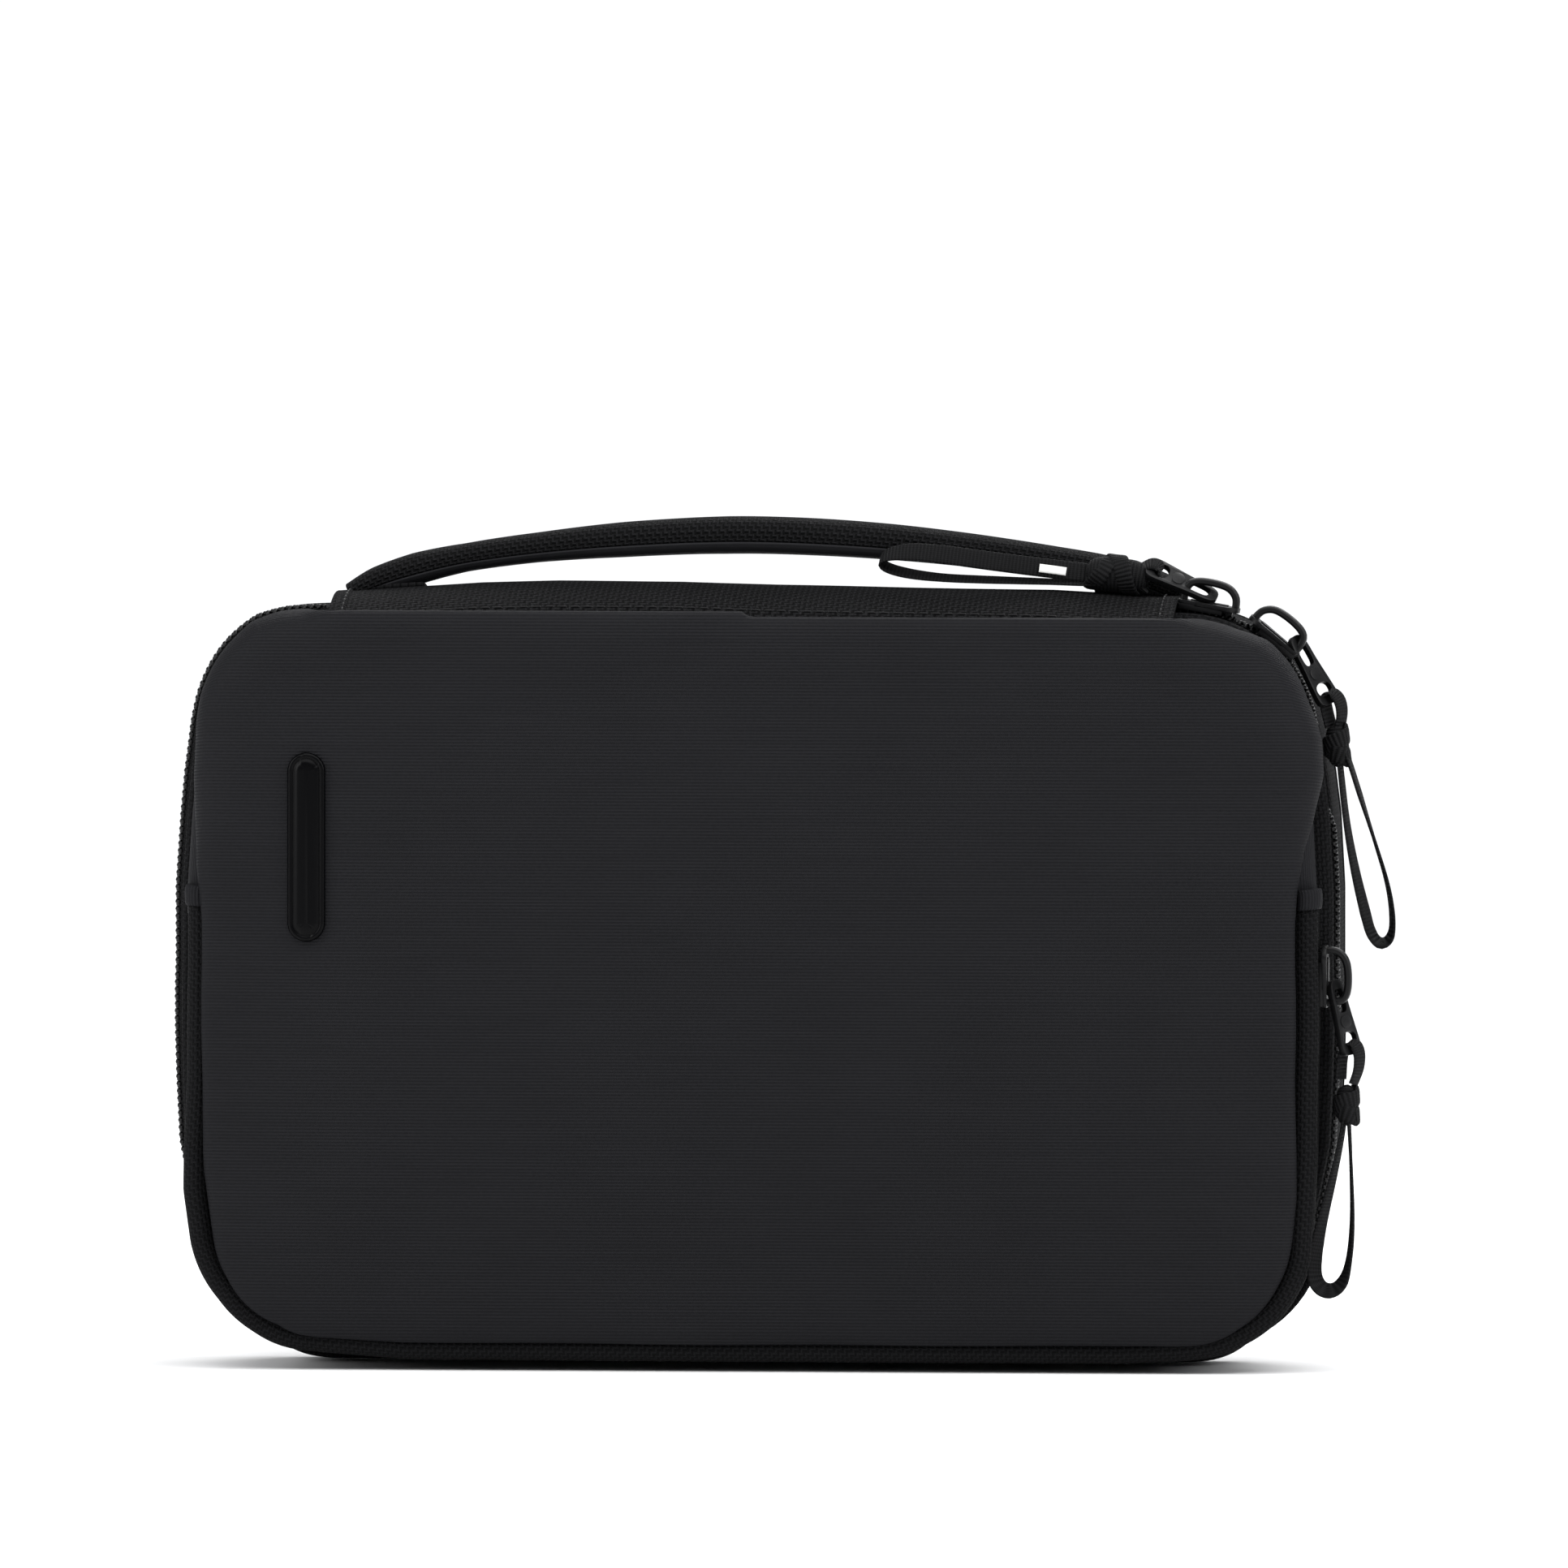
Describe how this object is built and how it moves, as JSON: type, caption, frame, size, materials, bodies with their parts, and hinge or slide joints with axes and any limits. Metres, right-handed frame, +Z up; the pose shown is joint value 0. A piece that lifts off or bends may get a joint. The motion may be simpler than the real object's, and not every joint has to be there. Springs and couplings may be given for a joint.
{
  "type": "cable organizer pouch",
  "caption": "Soft zipped pouch for cables and chargers, with a fold-flat main compartment, a front compartment under a flap, and a padded top handle.",
  "frame": {"origin": "on the floor strip of the back half, in the middle of the pouch's width, 6 mm behind the main zip's line", "axes": "+X to the pouch's right seen from the front, -Y out of the front panel, +Z up through the handle"},
  "size_m": [0.2545, 0.0532, 0.1769],
  "materials": {
    "panel_fabric": "coated woven nylon, faint sheen",
    "gusset_fabric": "woven nylon, matt",
    "zip_tape": "fine woven polyester tape",
    "zip_coil": "nylon coil",
    "lining": "smooth polyester lining",
    "elastic": "ribbed elastic",
    "mesh": "knitted mesh",
    "binding": "woven edge binding",
    "spine_webbing": "coarse ballistic weave",
    "handle_webbing": "woven webbing, padded",
    "handle_lining": "smooth nylon",
    "slider_metal": "black enamelled zinc",
    "ribbon": "ribbed grosgrain ribbon",
    "ribbon_mark": "woven patch, plain",
    "badge_rubber": "moulded rubber, glossy"
  },
  "bodies": {
    "back_half": {"back_panel": "panel_fabric", "back_gusset": "gusset_fabric", "back_zip_tape": "zip_tape", "back_zip_coil": "zip_coil", "corner_zip_tape": "zip_tape", "corner_zip_coil": "zip_coil", "back_lining": "lining", "back_seam_binding": "binding", "upper_elastic_loops": "elastic", "lower_elastic_loops": "elastic"},
    "spine": {"spine_band": "spine_webbing", "spine_lining": "lining", "spine_end_bindings": "binding", "spine_zip_tape": "zip_tape", "spine_zip_coil": "zip_coil", "handle_patches": "handle_webbing", "slider_1_body": "slider_metal"},
    "handle": {"handle_webbing": "handle_webbing", "handle_lining": "handle_lining"},
    "pull_1": {"pull_tab_1": "slider_metal"},
    "pull_ribbon_1": {"ribbon_1": "ribbon", "ribbon_mark_1": "ribbon_mark"},
    "slider_2": {"slider_2_body": "slider_metal"},
    "pull_2": {"pull_tab_2": "slider_metal"},
    "pull_ribbon_2": {"ribbon_2": "ribbon"},
    "lid": {"divider_panel": "lining", "lid_gusset": "gusset_fabric", "lid_zip_tape": "zip_tape", "lid_zip_coil": "zip_coil", "mesh_pocket": "mesh", "mesh_pocket_binding": "binding", "pocket_lining": "lining", "upper_front_panel": "panel_fabric", "front_badge": "badge_rubber", "upper_gusset": "panel_fabric", "side_tabs": "binding", "rear_pocket_zip_tape": "zip_tape", "rear_pocket_zip_coil": "zip_coil", "upper_pocket_zip_tape": "zip_tape", "upper_pocket_zip_coil": "zip_coil"},
    "slider_3": {"slider_3_body": "slider_metal"},
    "pull_3": {"pull_tab_3": "slider_metal"},
    "pull_ribbon_3": {"ribbon_3": "ribbon"},
    "flap": {"lower_front_panel": "panel_fabric", "lower_gusset": "gusset_fabric", "flap_lining": "lining", "flap_zip_tape": "zip_tape", "flap_zip_coil": "zip_coil"}
  },
  "joints": [
    {"name": "spine_fold", "type": "hinge", "parent": "back_half", "child": "spine", "pos_m": [0, 0.0187, 0.1595], "axis": [-1, 0, 0], "range_deg": [0, 90]},
    {"name": "lid_fold", "type": "hinge", "parent": "spine", "child": "lid", "pos_m": [0, -0.0265, 0.1595], "axis": [-1, 0, 0], "range_deg": [0, 90]},
    {"name": "handle_flop", "type": "hinge", "parent": "spine", "child": "handle", "pos_m": [0, 0.0052, 0.1647], "axis": [1, 0, 0], "range_deg": [-30, 15]},
    {"name": "pull_1_swing", "type": "hinge", "parent": "spine", "child": "pull_1", "pos_m": [0.09523, -0.006, 0.16125], "axis": [0, 1, 0], "range_deg": [0, 90]},
    {"name": "ribbon_1_swing", "type": "hinge", "parent": "pull_1", "child": "pull_ribbon_1", "pos_m": [0.08299, -0.006, 0.16696], "axis": [0, 1, 0], "range_deg": [0, 40]},
    {"name": "slider_2_travel", "type": "hinge", "parent": "back_half", "child": "slider_2", "pos_m": [0.09, -0.006, 0.131], "axis": [0, 1, 0], "range_deg": [0, 45]},
    {"name": "pull_2_swing", "type": "hinge", "parent": "slider_2", "child": "pull_2", "pos_m": [0.11303, -0.006, 0.15175], "axis": [0, 1, 0], "range_deg": [-45, 0]},
    {"name": "ribbon_2_swing", "type": "hinge", "parent": "pull_2", "child": "pull_ribbon_2", "pos_m": [0.11957, -0.006, 0.13995], "axis": [0, -1, 0], "range_deg": [0, 50]},
    {"name": "front_flap_fold", "type": "hinge", "parent": "lid", "child": "flap", "pos_m": [0, -0.0298, 0.085], "axis": [-1, 0, 0], "range_deg": [0, 110]},
    {"name": "slider_3_travel", "type": "slide", "parent": "lid", "child": "slider_3", "axis": [0, 0, -1], "range_m": [0, 0.013]},
    {"name": "pull_3_swing", "type": "hinge", "parent": "slider_3", "child": "pull_3", "pos_m": [0.1221, -0.019, 0.0805], "axis": [0, -1, 0], "range_deg": [0, 90]},
    {"name": "ribbon_3_swing", "type": "hinge", "parent": "pull_3", "child": "pull_ribbon_3", "pos_m": [0.12537, -0.019, 0.0674], "axis": [0, -1, 0], "range_deg": [0, 40]}
  ],
  "couplings": [
    {"joint": "lid_fold", "follows": "spine_fold", "ratio": 1},
    {"joint": "pull_2_swing", "follows": "slider_2_travel", "ratio": -1}
  ]
}
